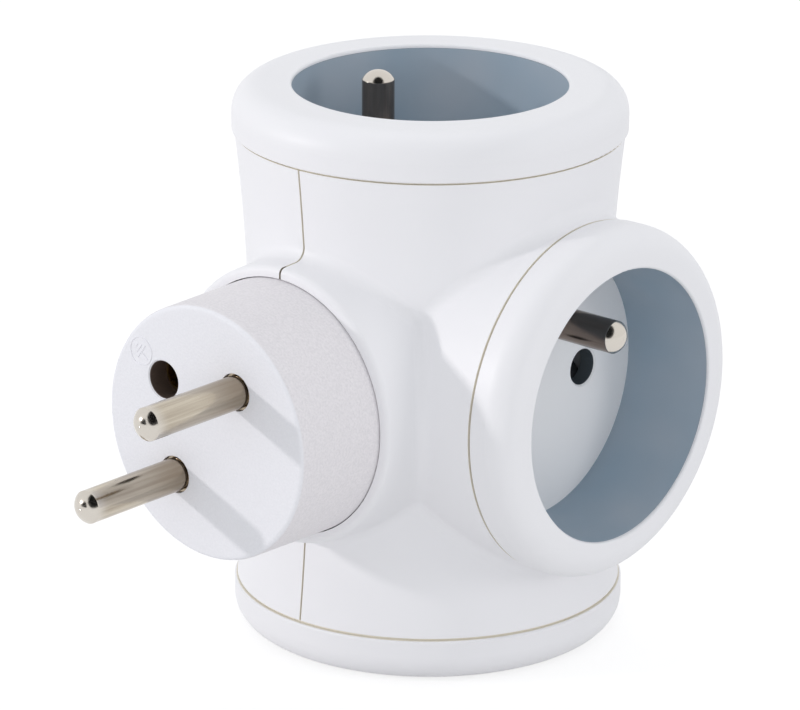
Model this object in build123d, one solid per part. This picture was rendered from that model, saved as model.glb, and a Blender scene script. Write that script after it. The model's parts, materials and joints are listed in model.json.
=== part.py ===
from build123d import *
from math import cos, radians, sin, tan
import os

# Three-outlet plug-in mains adapter of the French pattern, in millimetres.
# The drum stands along Z on its bottom rim, the side outlet faces +X and the plug faces -Y.

# Overall layout
HEIGHT = 82.0                # from the bottom mouth to the top mouth
SIDE_STAND = 8.15            # the side mouth beyond the drum's ends
PLUG_REACH = 47.9            # from the drum's axis to the plug's face
COLLAR_REACH = 32.2          # from the drum's axis to the collar's lip
PLUG_TURN = 52.0             # the plug's pin line, in degrees from the horizontal

# Plug and socket pattern
PIN_SPACING = 19.0
PIN_R = 2.4
PIN_LENGTH = 19.0
PIN_DOME = 1.4               # height of a pin's domed end
PIN_EDGE = 0.25              # rounding where the dome meets the side
PIN_ROOT_R = 2.7             # thicker root held in the plastic
PIN_RECESS = 0.5             # the root lies this deep, so that an open ring shows round the pin
PIN_NECK_R = 2.2             # undercut in that ring
EARTH_OFFSET = 10.0          # from the socket's centre to its earth pin
EARTH_RECESS = 0.1           # from the mouth down to the earth pin's tip
WELL_R = 20.0
PIN_HOLE_R = 2.7

# Clearances
FIT = 0.1                    # parts that slide together at assembly
SNUG = 0.04                  # pins in their holes, and edges that butt
RUN = 0.2                    # round a moving shutter
SEAM_GAP = 0.3               # open line between the half shells
JOINT_GAP = 0.3              # open line between a rim and its shoulder
JOINT_DEPTH = 0.75           # depth of that line, from the rim's outside
PLUG_GAP = 0.15              # open line between the plug and its collar
CARRIER_CLEAR = 0.3          # round the carriers where two sockets meet

# Half shells
DRUM_STEP = 0.45             # the drum's ends inside their rims
WAIST = 1.95                 # depth of the drum's waist
SHELL_WALL = 2.2
NECK_STEP = 0.1              # the neck's end inside its rim
NECK_DRAFT = 3.0             # degrees
NECK_BLEND = 2.0
COLLAR_LIP_R = 20.4
COLLAR_DRAFT = 3.0           # degrees
COLLAR_BLEND = 1.8
COLLAR_EDGE = 0.9
ROOT = 4.0                   # the neck and the collar start this far from the drum's axis
SHELF = 2.0                  # shelf under each socket base
SHELF_WIDTH = 1.5
SPIGOT_TOP = 3.3             # from the mouth down to the spigot's end
DRUM_SPIGOT_WALL = 2.0
SIDE_SPIGOT_WALL = 1.3
BEAD = 0.25                  # snap bead round each spigot
BEAD_WIDTH = 1.2
TONGUE = 1.2                 # tongue and rebate down the back seam
TONGUE_WALL = 1.0

# Rim rings
RIM_HEIGHT = 6.7
DRUM_RIM_WIDTH = 8.7         # from the well to the rim's outside
SIDE_RIM_WIDTH = 5.8
DRUM_RIM_WALL = 2.2
SIDE_RIM_WALL = 1.7
RIM_ROUND = 4.0
RIM_FOOT_ROUND = 0.3
LIP = 0.5
LIP_ROUND = 0.35
RIM_CEILING = 3.0
SEAT_WALL = 1.4

# Well liners and socket bases
LINER_WALL = 1.0
FLANGE_WIDTH = 0.8
FLANGE = 1.4
FLOOR = 2.7
HOLE_CHAMFER = 0.25
CLIP_WALL = 1.4              # snap legs that hold the contact carrier
CLIP_WIDTH = 6.0
CLIP_BARB = 0.6
CLIP_HOOK = 1.1

# Shutters, their chamber in the contact carrier, and springs
PAD = 5.8                    # square pad that closes a line hole
PAD_LAND = 0.8
SHUTTER_HEIGHT = 6.1
BRIDGE = 2.0
SHUTTER_TRAVEL = 5.7
SPRING_SPACE = 3.0           # left for the spring when the shutter is open
SPRING_R = 1.9
SPRING_WIRE = 0.45
SPRING_TURNS = 4
WIRE_SIDES = 6               # the wire's section is a polygon, which keeps the coil light
PEG_R = 1.2
PEG_LENGTH = 1.2
CARRIER_WALL = 1.5
CARRIER_FLOOR = 2.0
EARTH_BOSS_R = 4.5

# Earth pins
EARTH_FLANGE_R = 3.4
EARTH_FLANGE = 1.0
SHANK_R = 1.6
RIVET_R = 2.4
RIVET = 0.6

# Plug body
PLUG_R = 18.5
PLUG_ROOT_R = 18.75
PLUG_EDGE = 0.7
PLUG_FACE = 3.5
PLUG_WALL = 2.2
PLUG_FLANGE_WIDTH = 1.15
PLUG_FLANGE = 2.0
PLUG_NECK = 3.6              # collar bore in front of the flange
PLUG_RIB = 1.5               # rib behind the flange
PLUG_RIB_R = 18.2
PIN_BOSS_R = 4.2
PIN_BOSS = 6.0
BOSS_FLOOR = 1.2             # behind the pin's shoulder
TAIL_TUBE_WALL = 0.7         # round the long tail of the line pin
EARTH_TUBE_WALL = 1.5        # round the earth contact's sleeve

# Brass work
SHEET = 0.8
JAW_GAP = 5.0                # between the two leaves of a jaw
JAW_DEPTH = 6.2              # leaf width across the pin
JAW_BEAD = 0.25              # contact bead on each leaf
JAW_BACK = 0.4               # from a seated pin to the busbar's web
BUS_CLEAR = 0.2              # carrier to brass
TAB_WIDTH = 4.4
EARTH_STRIP = 6.0
SLEEVE_R = 2.45
SLEEVE_WALL = 0.5
SLEEVE_SLIT = 1.0

# Derived radii
LINER_R = WELL_R + LINER_WALL
BASE_R = LINER_R + FLANGE_WIDTH
SEAT_R = BASE_R + FIT
SLEEVE_OUT = SEAT_R + SIDE_SPIGOT_WALL
SHELF_R = BASE_R - SHELF_WIDTH
RIM_SEAT_R = LINER_R + FIT
DRUM_RIM_R = WELL_R + DRUM_RIM_WIDTH
SIDE_RIM_R = WELL_R + SIDE_RIM_WIDTH
DRUM_END_R = DRUM_RIM_R - DRUM_STEP
DRUM_WAIST_R = DRUM_END_R - WAIST
NECK_END_R = SIDE_RIM_R - NECK_STEP
DRUM_SPIGOT_R = DRUM_RIM_R - DRUM_RIM_WALL - FIT
SIDE_SPIGOT_R = SIDE_RIM_R - SIDE_RIM_WALL - FIT
DRUM_BORE_R = DRUM_SPIGOT_R - DRUM_SPIGOT_WALL
SIDE_BORE_R = SIDE_SPIGOT_R - SIDE_SPIGOT_WALL

# Derived lengths across a socket
HALF_PIN = PIN_SPACING / 2
CHAMBER_HALF_X = HALF_PIN + PAD / 2 + RUN
CHAMBER_FRONT = PAD / 2 + RUN
CHAMBER_BACK = -PAD / 2 - SHUTTER_TRAVEL - SPRING_SPACE
CARRIER_HALF_X = CHAMBER_HALF_X + CARRIER_WALL
CARRIER_FRONT = EARTH_OFFSET + EARTH_BOSS_R
CARRIER_REAR = CHAMBER_BACK - CARRIER_WALL
JAW_HALF = JAW_GAP / 2 + SHEET
WEB_IN = HALF_PIN + PIN_R + JAW_BACK
WEB_OUT = WEB_IN + SHEET

# Derived depth of a well: the end sockets take what the side socket leaves of the height
MID = HEIGHT / 2
CHAMBER = SHUTTER_HEIGHT + 2 * RUN
SIDE_ROOM = max(SLEEVE_OUT + FIT, CARRIER_FRONT + CARRIER_CLEAR + CARRIER_FLOOR + CHAMBER)
WELL_DEPTH = MID - SIDE_ROOM - FLOOR
EARTH_PIN_HEIGHT = WELL_DEPTH - EARTH_RECESS

# Derived levels, measured down from a socket's mouth
SHOULDER = RIM_HEIGHT + JOINT_GAP
BEAD_LEVEL = (SPIGOT_TOP + RIM_HEIGHT) / 2
FLANGE_TOP = WELL_DEPTH - FLANGE
BASE_BACK = WELL_DEPTH + FLOOR
SHELF_BACK = BASE_BACK + SHELF
CHAMBER_FLOOR = BASE_BACK + CHAMBER
CARRIER_BACK = CHAMBER_FLOOR + CARRIER_FLOOR
SPRING_LEVEL = BASE_BACK + CHAMBER / 2
JAW_TOP = CARRIER_BACK + BUS_CLEAR
JAW_END = WELL_DEPTH + PIN_LENGTH + BUS_CLEAR

# The side mouth stands clear of the drum, and its sleeve clear of the end carriers
SIDE_REACH = max(DRUM_END_R + SIDE_STAND, SHELF_BACK + CARRIER_CLEAR - CARRIER_REAR)
FAR = 2 * HEIGHT             # beyond every part

# Derived depths behind the plug's face
PLUG_DEPTH = PLUG_REACH - COLLAR_REACH
FLANGE_FRONT = PLUG_DEPTH + PLUG_NECK
FLANGE_BACK = FLANGE_FRONT + PLUG_FLANGE
PIN_SHOULDER = PLUG_FACE + PIN_BOSS
BOSS_END = PIN_SHOULDER + BOSS_FLOOR
SLEEVE_END = PLUG_FACE + EARTH_PIN_HEIGHT
TUBE_END = PLUG_REACH - WEB_IN + JAW_DEPTH

# Frames: local Z points out of the mouth, local Y at the earth pin, local X along the pin line
TOP = Plane(origin=(0, 0, HEIGHT), x_dir=(0, 1, 0), z_dir=(0, 0, 1))
SIDE = Plane(origin=(SIDE_REACH, 0, MID), x_dir=(0, 1, 0), z_dir=(1, 0, 0))
BOTTOM = Plane(origin=(0, 0, 0), x_dir=(0, -1, 0), z_dir=(0, 0, -1))
PIN_DIRECTION = (cos(radians(PLUG_TURN)), 0, sin(radians(PLUG_TURN)))
PLUG = Plane(origin=(0, -PLUG_REACH, MID), x_dir=PIN_DIRECTION, z_dir=(0, -1, 0))
COLLAR = Plane(origin=(0, -COLLAR_REACH, MID), x_dir=(1, 0, 0), z_dir=(0, -1, 0))
SOCKETS = {"top": TOP, "side": SIDE, "bottom": BOTTOM}

# The plug's earth hole, and the end of its pin line that feeds the far busbar
STRAP_X = -EARTH_OFFSET * PIN_DIRECTION[2]
STRAP_Z = MID + EARTH_OFFSET * PIN_DIRECTION[0]
LINE_SIDE = -1


def turned(face):
    """Solid of revolution about local Z of a face drawn as radius, height."""
    return revolve(Plane.XZ * face, axis=Axis.Z)


def outline(*points):
    return make_face(Polyline(*points, close=True))


def rounded(face, *corners):
    """The face with each named corner (radius, height, round) filleted."""
    for r, h, size in corners:
        face = fillet(face.vertices().sort_by_distance((r, h))[0], radius=size)
    return face


def rod(r, low, high):
    """Cylinder on local Z between two heights."""
    return Pos(0, 0, low) * Cylinder(r, high - low, align=(Align.CENTER, Align.CENTER, Align.MIN))


def pin_hole(r, low, high):
    """Tool for a hole between two heights, with its upper edge broken."""
    return rod(r, low, high) + Pos(0, 0, high - HOLE_CHAMFER / 2) * Cone(r, r + HOLE_CHAMFER, HOLE_CHAMFER)


def block(x, y, z):
    """Box between pairs of limits."""
    return Pos(x[0], y[0], z[0]) * Box(x[1] - x[0], y[1] - y[0], z[1] - z[0], align=(Align.MIN,) * 3)


def mirrored(part):
    """The part and its mirror image in local X."""
    return part + mirror(part, about=Plane.YZ)


# Rim rings, liners and bases, each drawn from the mouth down

def rim_ring(outer_r, wall):
    channel_r = outer_r - wall
    land_r = outer_r - JOINT_DEPTH
    land = SNUG - SHOULDER
    seat_out = min(RIM_SEAT_R + SEAT_WALL, SIDE_BORE_R - FIT)
    section = outline(
        (outer_r, -RIM_HEIGHT), (outer_r, 0), (WELL_R, 0), (WELL_R, -LIP), (RIM_SEAT_R, -LIP),
        (RIM_SEAT_R, -FLANGE_TOP), (seat_out, -FLANGE_TOP), (seat_out, -RIM_CEILING),
        (channel_r, -RIM_CEILING), (channel_r, -BEAD_LEVEL + BEAD_WIDTH / 2), (channel_r + BEAD, -BEAD_LEVEL),
        (channel_r, -BEAD_LEVEL - BEAD_WIDTH / 2), (channel_r, land), (land_r, land), (land_r, -RIM_HEIGHT),
    )
    return turned(rounded(
        section,
        (outer_r, 0, RIM_ROUND),
        (WELL_R, 0, LIP_ROUND),
        (outer_r, -RIM_HEIGHT, RIM_FOOT_ROUND),
    ))


def well_liner():
    return turned(outline(
        (WELL_R, -LIP - SNUG), (LINER_R, -LIP - SNUG), (LINER_R, -FLANGE_TOP), (BASE_R, -FLANGE_TOP),
        (BASE_R, -WELL_DEPTH), (WELL_R, -WELL_DEPTH),
    ))


def socket_base():
    plate = rod(BASE_R, -BASE_BACK, -WELL_DEPTH)
    plate -= mirrored(Pos(HALF_PIN, 0, 0) * pin_hole(PIN_HOLE_R, -BASE_BACK, -WELL_DEPTH))
    plate -= Pos(0, EARTH_OFFSET, 0) * rod(PIN_ROOT_R + SNUG, -BASE_BACK, -WELL_DEPTH)
    inner = CARRIER_HALF_X + FIT
    hook_end = -CARRIER_BACK - FIT - CLIP_HOOK
    leg = Plane.XZ * outline(
        (inner, -BASE_BACK), (inner + CLIP_WALL, -BASE_BACK), (inner + CLIP_WALL, hook_end),
        (inner, hook_end), (inner - CLIP_BARB, hook_end + CLIP_HOOK), (inner, hook_end + CLIP_HOOK),
    )
    return plate + mirrored(extrude(leg, CLIP_WIDTH / 2, both=True))


def contact_carrier():
    level = (-CARRIER_BACK, -BASE_BACK)
    walls = (CARRIER_REAR, CHAMBER_FRONT + CARRIER_WALL)
    body = block((-CARRIER_HALF_X, CARRIER_HALF_X), walls, level)
    body += Pos(0, EARTH_OFFSET, 0) * rod(EARTH_BOSS_R, *level)
    body += block((-EARTH_BOSS_R, EARTH_BOSS_R), (CHAMBER_FRONT, EARTH_OFFSET), level)
    chamber = (-CHAMBER_FLOOR, -BASE_BACK)
    body -= block((-CHAMBER_HALF_X, CHAMBER_HALF_X), (CHAMBER_BACK, CHAMBER_FRONT), chamber)
    body -= mirrored(Pos(HALF_PIN, 0, 0) * rod(PIN_HOLE_R, *level))
    earth_bore = rod(SHANK_R + FIT, *level)
    earth_bore += rod(EARTH_FLANGE_R + FIT, -BASE_BACK - EARTH_FLANGE - FIT, -BASE_BACK)
    body -= Pos(0, EARTH_OFFSET, 0) * earth_bore
    return body + spring_peg(CHAMBER_BACK, 1)


# Shutter and spring

def spring_peg(y, way):
    """Peg on a wall at local y that centres the spring, pointing along way."""
    peg = Cylinder(PEG_R, PEG_LENGTH, align=(Align.CENTER, Align.CENTER, Align.MIN))
    return Pos(0, y, -SPRING_LEVEL) * Rot(-90 * way, 0, 0) * peg


def shutter():
    top = -BASE_BACK - RUN
    bottom = top - SHUTTER_HEIGHT
    half = PAD / 2
    fall = PAD - PAD_LAND
    section = Plane.YZ * outline(
        (-half, top), (PAD_LAND - half, top), (half, top - fall), (half, bottom), (-half, bottom))
    pad = Pos(HALF_PIN, 0, 0) * extrude(section, half, both=True)
    reach = HALF_PIN - half
    bridge = block((-reach, reach), (-half, BRIDGE - half), (bottom, top))
    return mirrored(pad) + bridge + spring_peg(-half, -1)


def shutter_spring():
    start = CHAMBER_BACK + SPRING_WIRE / 2 + SNUG
    length = -PAD / 2 - SPRING_WIRE / 2 - SNUG - start
    path = Helix(length / SPRING_TURNS, length, SPRING_R)
    wire = Plane(path @ 0, z_dir=path % 0) * RegularPolygon(SPRING_WIRE / 2, WIRE_SIDES)
    coil = sweep(wire, path=path, is_frenet=True)
    return Pos(0, start, -SPRING_LEVEL) * Rot(-90, 0, 0) * coil


# Pins

def domed_pin(tip, low):
    """Pin with a low domed end, from the tip down to low."""
    edge = (PIN_R, tip - PIN_DOME)
    dome_r = (PIN_R ** 2 + PIN_DOME ** 2) / (2 * PIN_DOME)
    half = make_face([
        Line((0, low), (PIN_R, low)),
        Line((PIN_R, low), edge),
        RadiusArc(edge, (0, tip), -dome_r),
        Line((0, tip), (0, low)),
    ])
    return turned(rounded(half, (*edge, PIN_EDGE)))


def pin_root(low, face):
    """Undercut and thicker root of a pin, from low up to the face that it stands on."""
    return rod(PIN_ROOT_R, low, face - PIN_RECESS) + rod(PIN_NECK_R, face - PIN_RECESS, face)


def earth_pin():
    flange_back = -BASE_BACK - EARTH_FLANGE
    tab_back = -JAW_TOP - SHEET
    pin = domed_pin(EARTH_PIN_HEIGHT - WELL_DEPTH, -WELL_DEPTH) + pin_root(-BASE_BACK, -WELL_DEPTH)
    pin += rod(EARTH_FLANGE_R, flange_back, -BASE_BACK)
    pin += rod(SHANK_R, tab_back - RIVET, flange_back)
    pin += rod(RIVET_R, tab_back - RIVET, tab_back)
    return Pos(0, EARTH_OFFSET, 0) * pin


def plug_pin(side, bar_y):
    """Pin at one end of the pin line, riveted to the busbar whose web starts at bar_y."""
    web_back = -PLUG_REACH - bar_y - SHEET
    pin = domed_pin(PIN_LENGTH, 0) + pin_root(-PIN_SHOULDER, 0)
    pin += rod(SHANK_R, web_back - RIVET, -PIN_SHOULDER)
    pin += rod(RIVET_R, web_back - RIVET, web_back)
    return Pos(side * HALF_PIN, 0, 0) * pin


# Plug body

def plug_body():
    flange_r = PLUG_ROOT_R + PLUG_FLANGE_WIDTH
    inner_r = PLUG_R - PLUG_WALL
    section = rounded(outline(
        (0, 0), (PLUG_R, 0), (PLUG_ROOT_R, -PLUG_DEPTH), (PLUG_ROOT_R, -FLANGE_FRONT),
        (flange_r, -FLANGE_FRONT), (flange_r, -FLANGE_BACK), (inner_r, -FLANGE_BACK),
        (inner_r, -PLUG_FACE), (0, -PLUG_FACE),
    ), (PLUG_R, 0, PLUG_EDGE))
    body = turned(section)
    sleeve_r = SLEEVE_R + SLEEVE_WALL + FIT
    body += mirrored(Pos(HALF_PIN, 0, 0) * rod(PIN_BOSS_R, -BOSS_END, -PLUG_FACE))
    body += Pos(0, EARTH_OFFSET, 0) * rod(sleeve_r + EARTH_TUBE_WALL, -SLEEVE_END, -PLUG_FACE)
    body += Pos(LINE_SIDE * HALF_PIN, 0, 0) * rod(SHANK_R + FIT + TAIL_TUBE_WALL, -TUBE_END, -BOSS_END)
    pin_bore = rod(PIN_ROOT_R + SNUG, -PIN_SHOULDER, 0) + rod(SHANK_R + FIT, -TUBE_END, -PIN_SHOULDER)
    earth_bore = pin_hole(PIN_HOLE_R, -PLUG_FACE, 0) + rod(sleeve_r, -SLEEVE_END, -PLUG_FACE)
    return body - mirrored(Pos(HALF_PIN, 0, 0) * pin_bore) - Pos(0, EARTH_OFFSET, 0) * earth_bore


# Busbars: a folded strip in a plane of constant y, with a jaw for each outlet

def jaw(frame):
    """Two leaves with a contact bead each, folded up from the web; drawn beside +y."""
    inner = WEB_OUT - JAW_DEPTH
    leaf = block((inner, WEB_OUT), (JAW_GAP / 2, JAW_HALF), (-JAW_END, -JAW_TOP))
    bead = Rot(0, 90, 0) * Cylinder(JAW_BEAD, JAW_DEPTH / 2)
    leaf += Pos(HALF_PIN, JAW_GAP / 2, -(JAW_TOP + JAW_END) / 2) * bead
    return frame * (leaf + mirror(leaf, about=Plane.XZ))


def busbar(way, pin_side):
    """Bar beside +y, with the tab for its plug pin; way -1 mirrors it to the other side."""
    web_y = (WEB_IN, WEB_OUT)
    bar = block((-JAW_HALF, JAW_HALF), web_y, (JAW_TOP, HEIGHT - JAW_TOP))
    bar += block((0, SIDE_REACH - JAW_TOP), web_y, (MID - JAW_HALF, MID + JAW_HALF))
    pin_x = pin_side * HALF_PIN * PIN_DIRECTION[0]
    pin_z = MID + pin_side * HALF_PIN * PIN_DIRECTION[2]
    half = TAB_WIDTH / 2
    tab_x = sorted((0, pin_x + pin_side * half))
    bar += block(tab_x, web_y, (pin_z - half, pin_z + half))
    bar -= Pos(pin_x, WEB_IN, pin_z) * Rot(-90, 0, 0) * rod(SHANK_R + SNUG, 0, SHEET)
    bottom = Plane(origin=BOTTOM.origin, x_dir=(0, 1, 0), z_dir=BOTTOM.z_dir)
    for frame in (TOP, SIDE, bottom):
        bar += jaw(frame)
    return bar if way > 0 else mirror(bar, about=Plane.XZ)


# Earth strip and the plug's earth contact

def earth_busbar():
    half = EARTH_STRIP / 2
    across = (-half, half)
    back = -EARTH_OFFSET - half - SHEET
    bar = block((back, back + SHEET), across, (JAW_TOP, HEIGHT - JAW_TOP))
    for low in (JAW_TOP, HEIGHT - JAW_TOP - SHEET):
        bar += block((back, -EARTH_OFFSET + half), across, (low, low + SHEET))
    strip = STRAP_Z + SHEET / 2
    end = SIDE_REACH - JAW_TOP
    bar += block((back, end), across, (strip, strip + SHEET))
    bar += block((end - SHEET, end), across, (strip, MID + EARTH_OFFSET + half))
    hole = rod(SHANK_R + SNUG, -JAW_TOP - SHEET, -JAW_TOP)
    for frame in SOCKETS.values():
        bar -= frame * (Pos(0, EARTH_OFFSET, 0) * hole)
    return bar


def plug_earth_contact():
    front = -PLUG_FACE - SNUG
    sleeve = rod(SLEEVE_R + SLEEVE_WALL, -SLEEVE_END, front) - rod(SLEEVE_R, -SLEEVE_END, front)
    sleeve -= block((-SLEEVE_SLIT / 2, SLEEVE_SLIT / 2), (0, 2 * SLEEVE_R), (-SLEEVE_END, front))
    sleeve = PLUG * (Pos(0, EARTH_OFFSET, 0) * sleeve)
    half = SLEEVE_R + SLEEVE_WALL
    root = SLEEVE_END - PLUG_REACH - 2 * SLEEVE_WALL
    strap = block((STRAP_X - half, STRAP_X + half), (root, EARTH_STRIP / 2),
                  (STRAP_Z - SHEET / 2, STRAP_Z + SHEET / 2))
    return sleeve + strap


# Half shells

def drum(inset, low, high):
    """Waisted drum between two levels, inset from the outside."""
    end_r = DRUM_END_R - inset
    foot, head = (0, SHOULDER), (0, HEIGHT - SHOULDER)
    waist = ThreePointArc((end_r, SHOULDER), (DRUM_WAIST_R - inset, MID), (end_r, HEIGHT - SHOULDER))
    form = turned(make_face([Line(foot, waist @ 0), waist, Line(waist @ 1, head), Line(head, foot)]))
    return Rot(0, 0, 180) * form & block((-FAR, FAR), (-FAR, FAR), (low, high))


def outer_form():
    """Outside of both halves: the drum, blended into the neck, and both into the plug's collar."""
    body = drum(0, 0, HEIGHT)
    neck_root = SIDE_REACH - ROOT
    neck_root_r = NECK_END_R - (neck_root - SHOULDER) * tan(radians(NECK_DRAFT))
    neck = SIDE * turned(outline(
        (0, -SHOULDER), (NECK_END_R, -SHOULDER), (neck_root_r, -neck_root), (0, -neck_root)))
    necked = body + neck
    necked = fillet(new_edges(body, neck, combined=necked), NECK_BLEND)
    collar_root = COLLAR_REACH - ROOT
    collar_root_r = COLLAR_LIP_R + collar_root * tan(radians(COLLAR_DRAFT))
    collar_section = outline((0, 0), (COLLAR_LIP_R, 0), (collar_root_r, -collar_root), (0, -collar_root))
    collar = COLLAR * turned(rounded(collar_section, (COLLAR_LIP_R, 0, COLLAR_EDGE)))
    whole = necked + collar
    return fillet(new_edges(necked, collar, combined=whole), COLLAR_BLEND)


def spigot(outer_r, wall):
    """Ring that a rim snaps over, with its bead."""
    inner_r = outer_r - wall
    half = BEAD_WIDTH / 2 - FIT
    foot = SHOULDER + SHELL_WALL
    return turned(outline(
        (inner_r, -SPIGOT_TOP), (outer_r, -SPIGOT_TOP), (outer_r, half - BEAD_LEVEL),
        (outer_r + BEAD - FIT, -BEAD_LEVEL), (outer_r, -half - BEAD_LEVEL), (outer_r, -foot),
        (inner_r, -foot),
    ))


def half_shells():
    shell = outer_form()
    shell -= drum(SHELL_WALL, SHELF_BACK, HEIGHT - SHELF_BACK)
    base_seat = rod(SEAT_R, -BASE_BACK, -FLANGE_TOP) + rod(SHELF_R, -SHELF_BACK, -BASE_BACK)
    for frame in (TOP, BOTTOM):
        shell -= frame * rod(DRUM_BORE_R, -BASE_BACK, 0)
        shell += frame * rod(SEAT_R + SEAT_WALL, -SHELF_BACK, -FLANGE_TOP)
        shell += frame * spigot(DRUM_SPIGOT_R, DRUM_SPIGOT_WALL)
        shell -= frame * base_seat
    shell += SIDE * rod(SLEEVE_OUT, -SHELF_BACK, -FLANGE_TOP)
    shell += SIDE * rod(SIDE_SPIGOT_R, -FLANGE_TOP, DRUM_END_R - SIDE_REACH)
    shell += SIDE * spigot(SIDE_SPIGOT_R, SIDE_SPIGOT_WALL)
    shell -= SIDE * rod(SIDE_BORE_R, -FLANGE_TOP, 0)
    shell -= SIDE * base_seat
    bore_r = PLUG_ROOT_R + PLUG_GAP
    groove_r = PLUG_ROOT_R + PLUG_FLANGE_WIDTH + FIT
    groove_back = -PLUG_NECK - PLUG_FLANGE - 2 * FIT
    seat = rod(bore_r, -PLUG_NECK, 0)
    seat += rod(groove_r, groove_back, -PLUG_NECK + FIT)
    seat += rod(PLUG_RIB_R, groove_back - PLUG_RIB, groove_back)
    seat += rod(groove_r, DRUM_WAIST_R / 2 - COLLAR_REACH, groove_back - PLUG_RIB)
    shell -= COLLAR * seat
    return shell


def split(shell):
    """Left and right halves, with a tongue and rebate down the back seam."""
    left = shell & block((-FAR, -SEAM_GAP / 2), (-FAR, FAR), (-FAR, FAR))
    right = shell & block((SEAM_GAP / 2, FAR), (-FAR, FAR), (-FAR, FAR))
    low, high = SHELF_BACK + SHELF, HEIGHT - SHELF_BACK - SHELF
    skin = SHELL_WALL - TONGUE_WALL
    band = drum(skin + FIT, low, high) - drum(SHELL_WALL, 0, HEIGHT)
    rebate = drum(skin, low - FIT, high + FIT) - drum(SHELL_WALL + FIT, 0, HEIGHT)
    left += band & block((-SHELL_WALL, TONGUE), (0, FAR), (0, FAR))
    right -= rebate & block((0, TONGUE + FIT), (0, FAR), (0, FAR))
    return left, right


def build():
    nodes = {}
    nodes["left_half_shell"], nodes["right_half_shell"] = split(half_shells())
    for name, frame in SOCKETS.items():
        size = (SIDE_RIM_R, SIDE_RIM_WALL) if name == "side" else (DRUM_RIM_R, DRUM_RIM_WALL)
        nodes[f"{name}_rim_ring"] = frame * rim_ring(*size)
        nodes[f"{name}_well_liner"] = frame * well_liner()
        nodes[f"{name}_socket_base"] = frame * socket_base()
        nodes[f"{name}_contact_carrier"] = frame * contact_carrier()
        nodes[f"{name}_shutter"] = frame * shutter()
        nodes[f"{name}_shutter_spring"] = frame * shutter_spring()
        nodes[f"{name}_earth_pin"] = frame * earth_pin()
    nodes["plug_body"] = PLUG * plug_body()
    nodes["line_plug_pin"] = PLUG * plug_pin(LINE_SIDE, WEB_IN)
    nodes["neutral_plug_pin"] = PLUG * plug_pin(-LINE_SIDE, -WEB_OUT)
    nodes["line_busbar"] = busbar(1, LINE_SIDE)
    nodes["neutral_busbar"] = busbar(-1, -LINE_SIDE)
    nodes["earth_busbar"] = earth_busbar()
    nodes["plug_earth_contact"] = plug_earth_contact()
    return nodes


os.makedirs("parts", exist_ok=True)
for node, solid in build().items():
    export_step(solid, f"parts/{node}.step")
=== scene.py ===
import json
from math import cos, pi, radians, sin

import bmesh
import bpy
from mathutils import Matrix, Vector


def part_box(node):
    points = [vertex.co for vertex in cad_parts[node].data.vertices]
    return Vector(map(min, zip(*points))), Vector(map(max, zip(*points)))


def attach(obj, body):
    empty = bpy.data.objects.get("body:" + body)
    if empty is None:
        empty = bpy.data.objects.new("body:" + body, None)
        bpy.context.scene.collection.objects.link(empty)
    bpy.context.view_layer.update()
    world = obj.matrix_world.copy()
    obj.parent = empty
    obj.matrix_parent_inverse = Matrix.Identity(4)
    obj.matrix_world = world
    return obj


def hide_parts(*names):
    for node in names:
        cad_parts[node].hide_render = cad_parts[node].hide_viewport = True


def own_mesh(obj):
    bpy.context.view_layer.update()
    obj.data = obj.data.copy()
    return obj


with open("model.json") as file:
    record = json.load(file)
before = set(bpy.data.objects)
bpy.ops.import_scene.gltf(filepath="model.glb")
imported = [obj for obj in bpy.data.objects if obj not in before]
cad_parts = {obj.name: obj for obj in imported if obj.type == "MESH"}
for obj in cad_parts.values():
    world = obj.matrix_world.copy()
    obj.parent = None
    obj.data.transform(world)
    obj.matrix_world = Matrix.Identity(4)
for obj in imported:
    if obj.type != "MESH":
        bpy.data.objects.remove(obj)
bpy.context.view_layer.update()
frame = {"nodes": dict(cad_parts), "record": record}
scene = bpy.context.scene
MM = 0.001


# Places on the part, from the frame

def reach(node, direction):
    """How far a piece goes from the origin, along a direction that is one of the axes."""
    return max(corner.dot(direction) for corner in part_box(node))


def placed(origin, x, y, z):
    """Matrix of a frame with this origin and these axes."""
    return Matrix.Translation(origin) @ Matrix((x, y, z)).transposed().to_4x4()


SOCKETS = {"top": Vector((0, 0, 1)), "side": Vector((1, 0, 0)), "bottom": Vector((0, 0, -1))}
PLUG_OUT = Vector((0, -1, 0))
PLUG_FACE = reach("plug_body", PLUG_OUT)
MOUNTS = {mount["name"]: Vector(mount["pos_m"]) for mount in frame["record"]["mounts"]}
EARTH_HOLE = MOUNTS["plug_earth_hole"]

# The plug face's own frame: x along the line of its pins, y towards the earth hole, z out of the face
PIN_LINE = (MOUNTS["neutral_plug_pin"] - MOUNTS["line_plug_pin"]).normalized()
PIN_MIDDLE = (MOUNTS["neutral_plug_pin"] + MOUNTS["line_plug_pin"]) / 2
FACE_CENTRE = (PIN_MIDDLE.x, -PLUG_FACE, PIN_MIDDLE.z)
FACE = placed(FACE_CENTRE, PIN_LINE, PLUG_OUT.cross(PIN_LINE), PLUG_OUT)


# Colours, as pairs of a dark and a light shade where they vary

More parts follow.
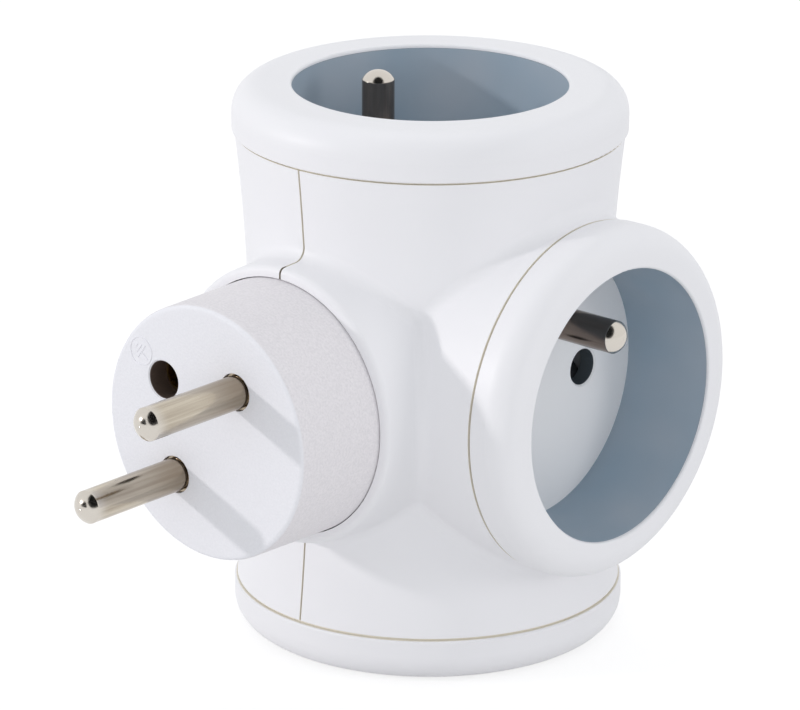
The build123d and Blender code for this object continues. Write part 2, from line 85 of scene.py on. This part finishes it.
SHELL_WHITE = ((0.91, 0.905, 0.925), (0.925, 0.92, 0.94))
RIM_WHITE = ((0.905, 0.90, 0.92), (0.915, 0.91, 0.93))
BASE_WHITE = ((0.94, 0.94, 0.95), (0.95, 0.95, 0.96))
LINER_BLUE = ((0.31, 0.405, 0.49), (0.41, 0.465, 0.525))
PLUG_GREY = ((0.79, 0.765, 0.785), (0.88, 0.85, 0.87))
# whiter plug face: partly its smoother finish, partly painted light
PAINTED_FACE_LIGHT = (0.93, 0.945, 0.995)
CARRIER_GREY = ((0.25, 0.26, 0.28), (0.29, 0.30, 0.32))
SHUTTER_BLACK = ((0.03, 0.033, 0.038), (0.04, 0.043, 0.048))
# painted shade on the walls of the holes in a well's floor
PAINTED_HOLE_SHADE = (0.10, 0.12, 0.135)
# painted shade on the wall of the plug's earth hole
PAINTED_EARTH_HOLE_SHADE = (0.10, 0.07, 0.055)
DUST = (0.87, 0.83, 0.735)
# painted shade in the seam's slot at the collar's lip
PAINTED_SEAM_END_SHADE = (0.30, 0.26, 0.20)
NICKEL = ((0.40, 0.348, 0.28), (0.60, 0.54, 0.445))
# painted shade: earth pin shanks darkened as a shaded reflection
PAINTED_SHANK_SHADE = ((0.21, 0.165, 0.14), (0.27, 0.215, 0.18))
# painted highlight on the tips of the pins
PAINTED_TIP_HIGHLIGHT = (0.64, 0.60, 0.545)
# painted shade on the plug pins towards their roots
PAINTED_ROOT_SHADE = (0.27, 0.205, 0.14)
BRASS = ((0.60, 0.42, 0.16), (0.68, 0.49, 0.21))
STEEL = ((0.50, 0.50, 0.51), (0.56, 0.56, 0.57))


# Finishes: each is one Principled shader, textured in metres by the piece's own coordinates

NOISE_LOW, NOISE_HIGH = 0.3, 0.7    # nearly all of a noise lies between these
FINE = 3.0                          # detail of the finer noises
EDGE = 0.05 * MM                    # fade at the edge of a patch of colour


class Finish:
    def __init__(self, name, metallic=0.0):
        self.material = bpy.data.materials.new(name)
        self.material.use_nodes = True
        self.nodes = self.material.node_tree.nodes
        self.links = self.material.node_tree.links
        self.shader = self.nodes["Principled BSDF"]
        self.shader.inputs["Metallic"].default_value = metallic
        self.place = self.nodes.new("ShaderNodeTexCoord").outputs["Object"]

    def noise(self, size, detail=2.0, stretch=(1, 1, 1)):
        """Noise whose lumps are about size metres wide, drawn out along the stretched axis."""
        place = self.nodes.new("ShaderNodeMapping")
        place.inputs["Scale"].default_value = [1 / s for s in stretch]
        noise = self.nodes.new("ShaderNodeTexNoise")
        noise.inputs["Scale"].default_value = 1 / size
        noise.inputs["Detail"].default_value = detail
        self.links.new(self.place, place.inputs["Vector"])
        self.links.new(place.outputs["Vector"], noise.inputs["Vector"])
        return noise.outputs["Fac"]

    def along(self, direction):
        """Distance from the origin along a direction."""
        dot = self.nodes.new("ShaderNodeVectorMath")
        dot.operation = "DOT_PRODUCT"
        dot.inputs[1].default_value = direction
        self.links.new(self.place, dot.inputs[0])
        return dot.outputs["Value"]

    def off(self, point, weights):
        """Distance from a point, with each axis counted by its weight."""
        flat = self.nodes.new("ShaderNodeMapping")
        flat.inputs["Location"].default_value = [-p * w for p, w in zip(point, weights)]
        flat.inputs["Scale"].default_value = weights
        length = self.nodes.new("ShaderNodeVectorMath")
        length.operation = "LENGTH"
        self.links.new(self.place, flat.inputs["Vector"])
        self.links.new(flat.outputs["Vector"], length.inputs[0])
        return length.outputs["Value"]

    def below(self, value, level, fade=EDGE, share=1.0):
        """The share where a value is under a level, 0 where it is over it by the fade."""
        step = self.nodes.new("ShaderNodeMapRange")
        step.interpolation_type = "SMOOTHSTEP"
        step.inputs["From Min"].default_value = level
        step.inputs["From Max"].default_value = level + fade
        step.inputs["To Min"].default_value = share
        step.inputs["To Max"].default_value = 0
        self.links.new(value, step.inputs["Value"])
        return step.outputs["Result"]

    def colour(self, mask, dark, light):
        ramp = self.nodes.new("ShaderNodeValToRGB")
        low, high = ramp.color_ramp.elements
        low.position, low.color = NOISE_LOW, (*dark, 1)
        high.position, high.color = NOISE_HIGH, (*light, 1)
        self.links.new(mask, ramp.inputs["Fac"])
        self.links.new(ramp.outputs["Color"], self.shader.inputs["Base Color"])

    def patch(self, mask, colour):
        """Another colour in the mask's share."""
        base = self.shader.inputs["Base Color"]
        mix = self.nodes.new("ShaderNodeMix")
        mix.data_type = "RGBA"
        mix.inputs["B"].default_value = (*colour, 1)
        self.links.new(mask, mix.inputs["Factor"])
        self.links.new(base.links[0].from_socket, mix.inputs["A"])
        self.links.new(mix.outputs["Result"], base)

    def roughness(self, mask, low, high):
        span = self.nodes.new("ShaderNodeMapRange")
        span.inputs["From Min"].default_value = NOISE_LOW
        span.inputs["From Max"].default_value = NOISE_HIGH
        span.inputs["To Min"].default_value = low
        span.inputs["To Max"].default_value = high
        self.links.new(mask, span.inputs["Value"])
        self.links.new(span.outputs["Result"], self.shader.inputs["Roughness"])

    def relief(self, *layers):
        """Bump from pairs of a mask and its height in metres, one on top of the other."""
        under = None
        for mask, height in layers:
            bump = self.nodes.new("ShaderNodeBump")
            bump.inputs["Strength"].default_value = 1.0
            bump.inputs["Distance"].default_value = height
            self.links.new(mask, bump.inputs["Height"])
            if under:
                self.links.new(under, bump.inputs["Normal"])
            under = bump.outputs["Normal"]
        self.links.new(under, self.shader.inputs["Normal"])


# Plastics

SATIN, SATIN_SPREAD = 6 * MM, 0.02              # lumps of the roughness, and how far it strays
RIPPLE, RIPPLE_HEIGHT = 9 * MM, 0.008 * MM
SEAM = (Vector(), Vector((1, 0, 0)))            # an open line is a point in it and the axis across it
RIM_JOINT = 6.85 * MM                           # from a mouth to the open line under its rim
RIM_JOINTS = [
    (outward * (reach(f"{socket}_rim_ring", outward) - RIM_JOINT), outward)
    for socket, outward in SOCKETS.items()
]
DUST_HALF = 0.16 * MM                           # half the width of the dust in an open line
SEAM_END_SHADE_HALF = 0.17 * MM
LINE_EDGE = 0.02 * MM
SEAM_END_SHADE_BACK = 0.7 * MM                            # from the collar's lip to the middle of the painted shade
SEAM_END_SHADE_WEIGHTS = (1, 0.13, 0)                     # the painted shade is drawn out along the seam
HOLE_SHADE_DEPTH = 0.3 * MM                           # from a well's floor to the painted shade of its holes
PAINTED_FACE_SKIN, PAINTED_FACE_FADE, PAINTED_FACE_SHARE = 0.2 * MM, 0.3 * MM, 0.6     # depth of the plug face's whiter skin: partly its smoother finish, partly painted light
EARTH_HOLE_SHADE_R = 2.75 * MM                            # painted shade round the earth hole's axis


def plastic(name, shades, rough, grain=0.4 * MM, height=0.004 * MM, cloud=18 * MM):
    """Moulded plastic: faint cloudy shade, uneven satin, fine grain over a slow ripple."""
    finish = Finish(name)
    finish.colour(finish.noise(cloud), *shades)
    finish.roughness(finish.noise(SATIN), rough - SATIN_SPREAD, rough + SATIN_SPREAD)
    finish.relief((finish.noise(RIPPLE), RIPPLE_HEIGHT), (finish.noise(grain, FINE), height))
    return finish


def dusty(finish, *lines):
    """A trace of brown dust in open lines."""
    for point, across in lines:
        finish.patch(finish.below(finish.off(point, across), DUST_HALF, LINE_EDGE), DUST)
    return finish


def shell_plastic():
    """White shells with dust in their open lines, and painted shade where the seam ends at the collar's
    lip.
    """
    finish = plastic("shell_plastic", SHELL_WHITE, 0.48, grain=0.45 * MM, height=0.003 * MM)
    dusty(finish, SEAM, *RIM_JOINTS)
    # painted shade where the seam's slot opens at the collar's lip
    seam_end = PLUG_OUT * (reach("left_half_shell", PLUG_OUT) - SEAM_END_SHADE_BACK)
    finish.patch(finish.below(finish.off(seam_end, SEAM_END_SHADE_WEIGHTS), SEAM_END_SHADE_HALF, LINE_EDGE), PAINTED_SEAM_END_SHADE)
    return finish


def rim_plastic():
    """Smooth white rims with dust in the open line under each."""
    finish = plastic("rim_plastic", RIM_WHITE, 0.44, grain=0.5 * MM, height=0.001 * MM)
    return dusty(finish, *RIM_JOINTS)


def base_plastic(socket, outward):
    """Pale floor of a well; the walls of its holes, behind the floor, carry painted shade."""
    finish = plastic(f"{socket}_base_plastic", BASE_WHITE, 0.45)
    floor = reach(f"{socket}_socket_base", outward)
    # painted shade on the hole walls behind the floor
    finish.patch(finish.below(finish.along(outward), floor - HOLE_SHADE_DEPTH), PAINTED_HOLE_SHADE)
    return finish


def plug_plastic():
    """Grained plastic; the face is whiter, partly its smoother finish and partly painted light, and the
    earth hole's wall has painted shade.
    """
    finish = plastic("plug_plastic", PLUG_GREY, 0.6, 0.35 * MM, 0.06 * MM, cloud=0.35 * MM)
    # painted light together with a smoother finish: the face whiter than the sides
    face = finish.below(finish.along(-PLUG_OUT), PAINTED_FACE_SKIN - PLUG_FACE, PAINTED_FACE_FADE, PAINTED_FACE_SHARE)
    finish.patch(face, PAINTED_FACE_LIGHT)
    # painted shade on the earth hole's wall
    finish.patch(finish.below(finish.off(EARTH_HOLE, (1, 0, 1)), EARTH_HOLE_SHADE_R), PAINTED_EARTH_HOLE_SHADE)
    return finish


# Metals

ALONG_X, ALONG_Y, ALONG_Z = (40, 1, 1), (1, 40, 1), (1, 1, 40)     # draw marks along an axis
STREAKS = 0.6 * MM
MARKS, MARKS_HEIGHT = 0.16 * MM, 0.0012 * MM
SMOOTHER, ROUGHER = 0.04, 0.06                  # how far the roughness strays
PIN_ROUGH = 0.16
BRASS_ROUGH = 0.3
STEEL_ROUGH = 0.3
PLUG_TIP, PLUG_TIP_FADE = 0.7 * MM, 3 * MM      # painted highlight at the end of a plug pin, from its tip
EARTH_TIP, EARTH_TIP_FADE = 1.3 * MM, 0.2 * MM
ROOT, ROOT_FADE, ROOT_SHARE = 1.1 * MM, 9 * MM, 0.6     # painted shade, from the plug's face


def drawn(name, shades, rough, stretch):
    """Metal with fine draw marks along one axis."""
    finish = Finish(name, metallic=1.0)
    marks = finish.noise(MARKS, stretch=stretch)
    finish.colour(finish.noise(STREAKS, FINE, stretch), *shades)
    finish.roughness(marks, rough - SMOOTHER, rough + ROUGHER)
    finish.relief((marks, MARKS_HEIGHT))
    return finish


def highlighted_pin(name, shades, stretch, outward, shank_end, fade):
    """Nickel pin with a painted highlight at its tip, brighter than along its shank."""
    finish = drawn(name, shades, PIN_ROUGH, stretch)
    # painted highlight at the tip
    finish.patch(finish.below(finish.along(-outward), -shank_end, fade), PAINTED_TIP_HIGHLIGHT)
    return finish


def plug_nickel():
    """A plug pin has a painted highlight at its tip and painted shade towards its root."""
    shank_end = reach("line_plug_pin", PLUG_OUT) - PLUG_TIP
    finish = highlighted_pin("plug_nickel", NICKEL, ALONG_Y, PLUG_OUT, shank_end, PLUG_TIP_FADE)
    # painted shade towards the root
    root = finish.below(finish.along(PLUG_OUT), PLUG_FACE + ROOT, ROOT_FADE, ROOT_SHARE)
    finish.patch(root, PAINTED_ROOT_SHADE)
    return finish


def earth_nickel(socket, outward):
    """An earth pin has painted shade along its shank and a painted highlight at its tip."""
    shank_end = reach(f"{socket}_earth_pin", outward) - EARTH_TIP
    stretch = ALONG_X if socket == "side" else ALONG_Z
    return highlighted_pin(f"{socket}_nickel", PAINTED_SHANK_SHADE, stretch, outward, shank_end, EARTH_TIP_FADE)


# Each finish goes to the nodes whose names end as its key does
FINISHES = {
    "half_shell": shell_plastic(),
    "rim_ring": rim_plastic(),
    "well_liner": plastic("liner_plastic", LINER_BLUE, 0.42),
    "plug_body": plug_plastic(),
    "contact_carrier": plastic("carrier_plastic", CARRIER_GREY, 0.5),
    "shutter": plastic("shutter_plastic", SHUTTER_BLACK, 0.4),
    "plug_pin": plug_nickel(),
    "busbar": drawn("sheet_brass", BRASS, BRASS_ROUGH, ALONG_Z),
    "earth_contact": drawn("sleeve_brass", BRASS, BRASS_ROUGH, ALONG_Y),
    "shutter_spring": drawn("spring_steel", STEEL, STEEL_ROUGH, ALONG_Z),
}
for socket, outward in SOCKETS.items():
    FINISHES[f"{socket}_socket_base"] = base_plastic(socket, outward)
    FINISHES[f"{socket}_earth_pin"] = earth_nickel(socket, outward)

for name, node in frame["nodes"].items():
    finish = next(look for ending, look in FINISHES.items() if name.endswith(ending))
    node.data.materials.clear()
    node.data.materials.append(finish.material)


# Shutter springs: each coil is copied onto the housing, and the packed spring is hidden

for socket, axis, anchor in (
    ("top", (1, 0, 0), (11.6 * MM, 0, 0)),
    ("side", (0, 0, 1), (0, 0, 29.4 * MM)),
    ("bottom", (1, 0, 0), (11.6 * MM, 0, 0)),
):
    node = f"{socket}_shutter_spring"
    coil = bpy.data.objects.new(f"{socket}_coil", frame["nodes"][node].data.copy())
    scene.collection.objects.link(coil)
    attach(coil, "housing")
    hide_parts(node)
    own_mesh(coil)


# Earth sign in relief on the plug's face, beyond its earth hole

SIGN_CENTRE = 15.4 * MM         # from the face's centre
SIGN_R = 2.05 * MM
SIGN_POINTS = 64                # round the sign's circle
SIGN_STEM = (-1.55 * MM, -0.2 * MM)
SIGN_BARS = ((1.2 * MM, -0.1 * MM), (0.8 * MM, 0.5 * MM), (0.4 * MM, 1.1 * MM))    # half length, place
SIGN_LINE = 0.22 * MM
SIGN_FOOT, SIGN_TOP = 0.5, 0.3  # half widths of the line's section, in line widths
SIGN_RISE = 0.1 * MM
SIGN_SUNK = 0.05 * MM           # the foot lies under the face


def raised(mesh, line, closed=False):
    """Low ridge with sloping sides that follows a line of points on the face."""
    section = (
        (-SIGN_FOOT, -SIGN_SUNK), (-SIGN_TOP, SIGN_RISE), (SIGN_TOP, SIGN_RISE), (SIGN_FOOT, -SIGN_SUNK))
    rings = []
    for i, point in enumerate(line):
        before = line[i - 1] if closed or i else point
        after = line[(i + 1) % len(line)] if closed or i + 1 < len(line) else point
        along = (after - before).normalized()
        side = Vector((along.y, -along.x, 0)) * SIGN_LINE
        rings.append([mesh.verts.new(point + side * w + Vector((0, 0, h))) for w, h in section])
    runs = list(zip(rings, rings[1:])) + ([(rings[-1], rings[0])] if closed else [])
    for near, far in runs:
        for a in range(len(section)):
            b = (a + 1) % len(section)
            mesh.faces.new((near[a], near[b], far[b], far[a]))
    if not closed:
        mesh.faces.new(rings[0][::-1])
        mesh.faces.new(rings[-1])


def sign_mesh():
    mesh = bmesh.new()
    angles = [2 * pi * i / SIGN_POINTS for i in range(SIGN_POINTS)]
    raised(mesh, [Vector((cos(a), sin(a), 0)) * SIGN_R for a in angles], closed=True)
    raised(mesh, [Vector((0, y, 0)) for y in SIGN_STEM])
    for half, y in SIGN_BARS:
        raised(mesh, [Vector((x, y, 0)) for x in (-half, half)])
    bmesh.ops.recalc_face_normals(mesh, faces=mesh.faces)
    mesh.transform(FACE @ Matrix.Translation((0, SIGN_CENTRE, 0)))
    data = bpy.data.meshes.new("earth_sign")
    mesh.to_mesh(data)
    mesh.free()
    return data


sign = bpy.data.objects.new("earth_sign", sign_mesh())
sign.data.materials.append(FINISHES["plug_body"].material)
scene.collection.objects.link(sign)
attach(sign, "housing")


# White floor that shows as the background and keeps the shadow

FLOOR_SIZE = 6
FLOOR_DROP = 0.05 * MM          # keeps the floor clear of the rim that stands on it
PAPER = (0.80, 0.80, 0.80)      # as the object is lit by it
SEEN_PAPER = (0.36, 0.36, 0.36)
SEEN_GLOW = 0.74


def pale_rays(nodes, links):
    """1 for what is seen directly, in metal or through glass, 0 for light on the object."""
    path = nodes.new("ShaderNodeLightPath")
    seen = path.outputs["Is Camera Ray"]
    for other in ("Is Glossy Ray", "Is Transmission Ray"):
        either = nodes.new("ShaderNodeMath")
        either.operation = "MAXIMUM"
        links.new(seen, either.inputs[0])
        links.new(path.outputs[other], either.inputs[1])
        seen = either.outputs["Value"]
    return seen


def show_mix(tree, output, share, first, second):
    """Shows the first shader where the share is 0, and the second where it is 1."""
    choice = tree.nodes.new("ShaderNodeMixShader")
    tree.links.new(share, choice.inputs["Fac"])
    tree.links.new(first, choice.inputs[1])
    tree.links.new(second, choice.inputs[2])
    tree.links.new(choice.outputs["Shader"], tree.nodes[output].inputs["Surface"])


def white_paper():
    paper = bpy.data.materials.new("white_paper")
    paper.use_nodes = True
    nodes, links = paper.node_tree.nodes, paper.node_tree.links
    nodes.remove(nodes["Principled BSDF"])
    lit = nodes.new("ShaderNodeBsdfDiffuse")
    lit.inputs["Color"].default_value = (*PAPER, 1)
    shaded = nodes.new("ShaderNodeBsdfDiffuse")
    shaded.inputs["Color"].default_value = (*SEEN_PAPER, 1)
    glow = nodes.new("ShaderNodeEmission")
    glow.inputs["Color"].default_value = (1, 1, 1, 1)
    glow.inputs["Strength"].default_value = SEEN_GLOW
    pale = nodes.new("ShaderNodeAddShader")
    links.new(shaded.outputs["BSDF"], pale.inputs[0])
    links.new(glow.outputs["Emission"], pale.inputs[1])
    seen = pale_rays(nodes, links)
    show_mix(paper.node_tree, "Material Output", seen, lit.outputs["BSDF"], pale.outputs["Shader"])
    return paper


bpy.ops.mesh.primitive_plane_add(size=FLOOR_SIZE, location=(0, 0, -FLOOR_DROP))
floor = bpy.context.object
floor.name = "floor"
floor.data.materials.append(white_paper())


# Studio light: an even white room, a low key from the front left and three soft fills

ROOM_TINT = (0.97, 1.0, 1.03)
ROOM_STRENGTH = 0.69
LAMP_TINT = (1, 0.965, 0.97)
LAMPS = (                       # name, direction to the lamp, strength, spread in degrees
    ("key", (-0.62, -0.74, 0.27), 0.74, 3),
    ("right_fill", (0.90, 0.36, 0.25), 0.36, 18),
    ("front_fill", (0.50, -0.85, 0.12), 0.32, 30),
    ("top_fill", (-0.20, 0.25, 0.95), 0.28, 40),
)


def studio():
    world = bpy.data.worlds.new("studio")
    world.use_nodes = True
    nodes, links = world.node_tree.nodes, world.node_tree.links
    room = nodes["Background"]
    room.inputs["Color"].default_value = (*ROOM_TINT, 1)
    room.inputs["Strength"].default_value = ROOM_STRENGTH
    white = nodes.new("ShaderNodeBackground")
    white.inputs["Color"].default_value = (1, 1, 1, 1)
    white.inputs["Strength"].default_value = 1.0
    seen = pale_rays(nodes, links)
    shaders = [node.outputs["Background"] for node in (room, white)]
    show_mix(world.node_tree, "World Output", seen, *shaders)
    return world


scene.world = studio()
for name, towards, strength, spread in LAMPS:
    light = bpy.data.lights.new(name, "SUN")
    light.energy = strength
    light.color = LAMP_TINT
    light.angle = radians(spread)
    lamp = bpy.data.objects.new(name, light)
    lamp.rotation_euler = Vector(towards).to_track_quat("Z", "Y").to_euler()
    lamp.visible_glossy = name == "key"
    scene.collection.objects.link(lamp)


# Camera at the photograph's place

AZIMUTH, ELEVATION, ROLL = radians(41.14), radians(18.93), radians(0.20)
CAMERA_PLACE = (0.455219, -0.527533, 0.279341)
SENSOR_WIDTH = 36               # this and the focal length are in millimetres
FOCAL_LENGTH = 226.1

back = Vector((sin(AZIMUTH) * cos(ELEVATION), -cos(AZIMUTH) * cos(ELEVATION), sin(ELEVATION)))
level = Vector((cos(AZIMUTH), sin(AZIMUTH), 0))
right = level * cos(ROLL) + back.cross(level) * sin(ROLL)
up = back.cross(right)
lens = bpy.data.cameras.new("camera")
lens.sensor_width = SENSOR_WIDTH
lens.lens = FOCAL_LENGTH
camera = bpy.data.objects.new("camera", lens)
camera.matrix_world = placed(CAMERA_PLACE, right, up, back)
scene.collection.objects.link(camera)
scene.camera = camera


# Dark cards with a soft edge beside the camera, which only show in gloss and metal

CARD_BLACK = (0.02, 0.02, 0.02)
CARD_EDGE = 0.2                 # the soft edge, as a share of the half width
CARD_SLIMNESS = 1.5             # height over width
CARDS = (                       # place, half height
    (back * 1.3 + up * 0.6, 1.5),
    (back * 0.9 - right * 1.5 - up * 0.3, 1.0),
)


def dark_card():
    dark = bpy.data.materials.new("dark_card")
    dark.use_nodes = True
    nodes, links = dark.node_tree.nodes, dark.node_tree.links
    matt = nodes["Principled BSDF"]
    matt.inputs["Base Color"].default_value = (*CARD_BLACK, 1)
    matt.inputs["Specular IOR Level"].default_value = 0.0
    fade = nodes.new("ShaderNodeTexGradient")
    fade.gradient_type = "SPHERICAL"
    span = nodes.new("ShaderNodeMapRange")
    span.inputs["From Max"].default_value = CARD_EDGE
    clear = nodes.new("ShaderNodeBsdfTransparent")
    links.new(nodes.new("ShaderNodeTexCoord").outputs["Object"], fade.inputs["Vector"])
    links.new(fade.outputs["Fac"], span.inputs["Value"])
    shown = span.outputs["Result"]
    show_mix(dark.node_tree, "Material Output", shown, clear.outputs["BSDF"], matt.outputs["BSDF"])
    return dark


card_finish = dark_card()
for place, height in CARDS:
    bpy.ops.mesh.primitive_plane_add(size=2, location=place)
    card = bpy.context.object
    card.name = "dark_card"
    card.scale = (height / CARD_SLIMNESS, height, 1)
    card.rotation_euler = place.to_track_quat("Z", "Y").to_euler()
    card.data.materials.append(card_finish)
    card.visible_camera = False
    card.visible_diffuse = False
    card.visible_shadow = False

scene.view_settings.view_transform = "Standard"
